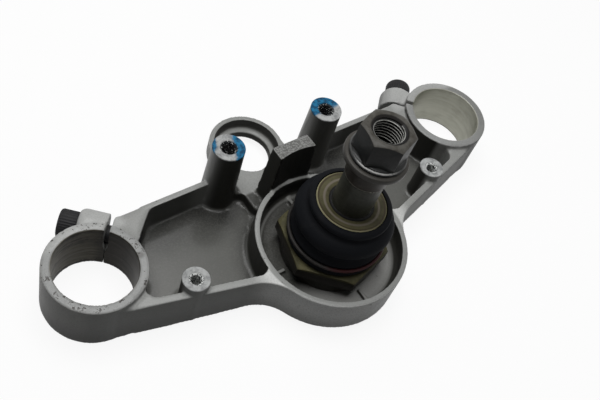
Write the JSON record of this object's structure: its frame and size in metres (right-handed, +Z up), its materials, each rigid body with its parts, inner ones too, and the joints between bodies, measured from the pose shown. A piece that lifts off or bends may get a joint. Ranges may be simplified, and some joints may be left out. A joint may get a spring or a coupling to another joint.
{
  "type": "motorcycle triple clamp",
  "caption": "Cast lower fork bridge with two split clamps for the fork tubes and a screwed-in ball joint that lets the steering turn and tilt.",
  "frame": {"origin": "midway between the axes of the two fork tubes, in the plane of the clamp rings' lower faces", "axes": "+X across the fork tubes to the right, +Y to the rear, +Z up along the fork tubes"},
  "size_m": [0.243, 0.1202, 0.0953],
  "materials": {
    "cast_aluminium": "satin",
    "black_steel": "satin",
    "yellow_zinc": "satin",
    "seat_plastic": "gloss",
    "stud_steel": "satin",
    "boot_rubber": "matte",
    "ring_steel": "satin",
    "yellow_zinc_disc": "satin",
    "bush_steel": "satin",
    "nut_steel": "satin"
  },
  "bodies": {
    "bridge": {"bridge_casting": "cast_aluminium", "clamp_bolt_left": "black_steel", "clamp_bolt_right": "black_steel", "ball_joint_housing": "yellow_zinc", "ball_seat": "seat_plastic", "housing_cover": "yellow_zinc", "boot_lower_ring": "ring_steel"},
    "boot_middle": {"boot": "boot_rubber"},
    "boot_top": {"boot_disc": "yellow_zinc_disc"},
    "stud": {"ball_stud": "stud_steel", "flanged_bush": "bush_steel", "flange_nut": "nut_steel"}
  },
  "joints": [
    {"name": "stud_tilt_fore_aft", "type": "hinge", "parent": "bridge", "child": "boot_middle", "pos_m": [0, -0.0323, 0.016], "axis": [1, 0, 0], "range_deg": [-18, 18], "deforming": ["boot"]},
    {"name": "stud_tilt_sideways", "type": "hinge", "parent": "boot_middle", "child": "boot_top", "pos_m": [0, -0.0323, 0.016], "axis": [0, 1, 0], "range_deg": [-20, 16], "deforming": ["boot"]},
    {"name": "stud_turn", "type": "hinge", "parent": "boot_top", "child": "stud", "pos_m": [0, -0.0323, 0.016], "axis": [0.0419, 0, 0.9991], "continuous": true}
  ]
}
